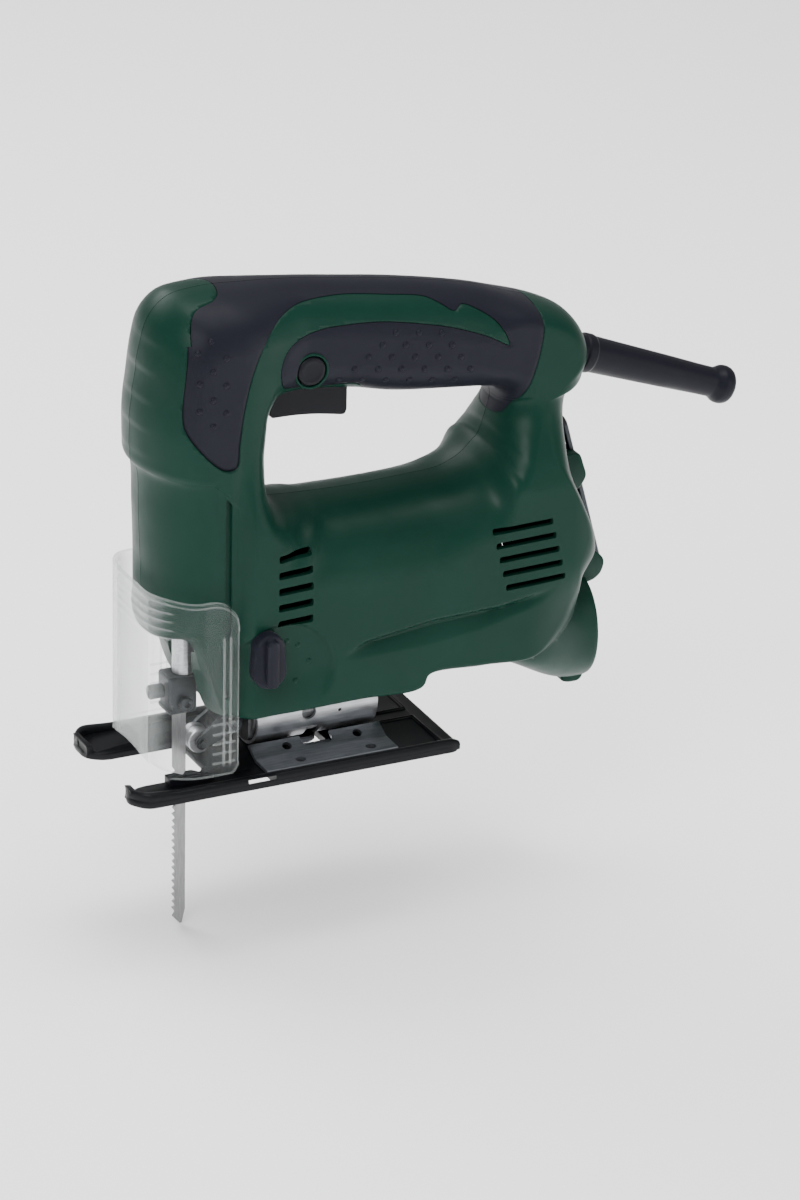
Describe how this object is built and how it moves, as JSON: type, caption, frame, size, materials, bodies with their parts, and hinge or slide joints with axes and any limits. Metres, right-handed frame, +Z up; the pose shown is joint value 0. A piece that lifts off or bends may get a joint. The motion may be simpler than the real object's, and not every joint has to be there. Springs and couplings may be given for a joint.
{
  "type": "jigsaw",
  "caption": "Corded jigsaw with a D handle, soft grip, lower trigger, clear dust guard, orbit selector, tilting steel base and a clamped saw blade.",
  "frame": {"origin": "on the sole of the base, on its centre line, below the middle of the handle", "axes": "+Z up from the sole, -X towards the blade and the front, -Y towards the side with the lock button and the selector"},
  "size_m": [0.2797, 0.0775, 0.2748],
  "materials": {
    "green_plastic": "satin moulded",
    "soft_grip": "matt soft grip",
    "black_plastic": "matt",
    "black_coated_steel": "satin black coating",
    "bright_steel": "satin",
    "dark_steel": "dark satin",
    "cast_aluminium": "cast",
    "brass": "satin",
    "copper": "varnished winding",
    "carbon": "matt",
    "clear_plastic": "clear"
  },
  "bodies": {
    "housing": {"housing_left": "green_plastic", "housing_right": "green_plastic", "grip_left": "soft_grip", "grip_right": "soft_grip", "gear_case": "cast_aluminium", "gear_axle": "bright_steel", "stator_core": "dark_steel", "field_coil_upper": "copper", "field_coil_lower": "copper", "front_bearing": "bright_steel", "rear_bearing": "bright_steel", "brush_holder_left": "brass", "brush_holder_right": "brass", "carbon_brush_left": "carbon", "carbon_brush_right": "carbon", "switch_body": "black_plastic", "cord_guard": "black_plastic", "cord_stub": "black_plastic", "guide_pin": "bright_steel", "arm_pin": "bright_steel", "housing_screw_1": "bright_steel", "housing_screw_2": "bright_steel", "housing_screw_3": "bright_steel", "housing_screw_4": "bright_steel", "housing_screw_5": "bright_steel", "housing_screw_6": "bright_steel", "housing_screw_7": "bright_steel"},
    "armature": {"armature_shaft": "bright_steel", "armature_core": "bright_steel", "armature_winding": "copper", "commutator": "copper", "cooling_fan": "black_plastic", "pinion": "bright_steel"},
    "gear": {"drive_gear": "bright_steel", "crank_pin": "bright_steel"},
    "guide": {"guide_frame": "cast_aluminium"},
    "plunger": {"plunger_rod": "bright_steel", "scotch_yoke": "dark_steel", "blade_clamp": "dark_steel", "clamp_screw_front": "bright_steel", "clamp_screw_side": "bright_steel", "saw_blade": "bright_steel"},
    "arm": {"roller_arm": "dark_steel", "roller_pin": "bright_steel"},
    "roller": {"guide_roller": "bright_steel"},
    "selector": {"selector_knob": "black_plastic"},
    "trigger": {"trigger": "black_plastic"},
    "lock": {"lock_button": "black_plastic"},
    "base": {"base_plate": "black_coated_steel", "base_bracket": "dark_steel", "bevel_trough": "bright_steel", "splinter_insert": "black_plastic", "base_rivet_1": "bright_steel", "base_rivet_2": "bright_steel", "base_rivet_3": "bright_steel", "base_rivet_4": "bright_steel"},
    "guard": {"dust_guard": "clear_plastic"},
    "wrench": {"hex_wrench": "dark_steel"},
    "bolt": {"base_bolt": "bright_steel"}
  },
  "joints": [
    {"name": "motor_spin", "type": "hinge", "parent": "housing", "child": "armature", "pos_m": [0, 0, 0.068], "axis": [1, 0, 0], "continuous": true},
    {"name": "gear_spin", "type": "hinge", "parent": "housing", "child": "gear", "pos_m": [-0.023, 0, 0.0935], "axis": [1, 0, 0], "continuous": true},
    {"name": "orbit_swing", "type": "hinge", "parent": "housing", "child": "arm", "pos_m": [-0.019, 0, 0.017], "axis": [0, 1, 0], "range_deg": [0, 4]},
    {"name": "guide_swing", "type": "hinge", "parent": "housing", "child": "guide", "pos_m": [-0.0475, 0, 0.121], "axis": [0, 1, 0], "range_deg": [0, 0.3]},
    {"name": "blade_stroke", "type": "slide", "parent": "guide", "child": "plunger", "axis": [0, 0, 1], "range_m": [-0.009, 0.009]},
    {"name": "roller_spin", "type": "hinge", "parent": "arm", "child": "roller", "pos_m": [-0.0319, 0, 0.0095], "axis": [0, 1, 0], "continuous": true},
    {"name": "selector_turn", "type": "hinge", "parent": "housing", "child": "selector", "pos_m": [-0.017, 0, 0.056], "axis": [0, 1, 0], "range_deg": [0, 100]},
    {"name": "trigger_press", "type": "slide", "parent": "housing", "child": "trigger", "axis": [0, 0, 1], "range_m": [0, 0.005], "stiffness_N_per_m": 500, "springref_m": -0.002},
    {"name": "lock_press", "type": "slide", "parent": "housing", "child": "lock", "axis": [0, 1, 0], "range_m": [0, 0.003], "stiffness_N_per_m": 400, "springref_m": -0.001},
    {"name": "base_bevel", "type": "hinge", "parent": "housing", "child": "base", "pos_m": [0, 0, 0.018], "axis": [1, 0, 0], "range_deg": [0, 45]},
    {"name": "guard_lift", "type": "slide", "parent": "housing", "child": "guard", "axis": [0, 0, 1], "range_m": [0, 0.04]},
    {"name": "wrench_pull", "type": "slide", "parent": "housing", "child": "wrench", "axis": [1, 0, 0], "range_m": [0, 0.02]},
    {"name": "base_bolt_turn", "type": "hinge", "parent": "housing", "child": "bolt", "pos_m": [0.014, 0, 0], "axis": [0, 0, 1], "range_deg": [0, 180]}
  ],
  "couplings": [
    {"joint": "gear_spin", "follows": "motor_spin", "ratio": -0.15909},
    {"joint": "guide_swing", "follows": "orbit_swing", "ratio": 0.06726},
    {"joint": "guard_lift", "follows": "base_bevel", "m_per_rad": 0.05092}
  ]
}
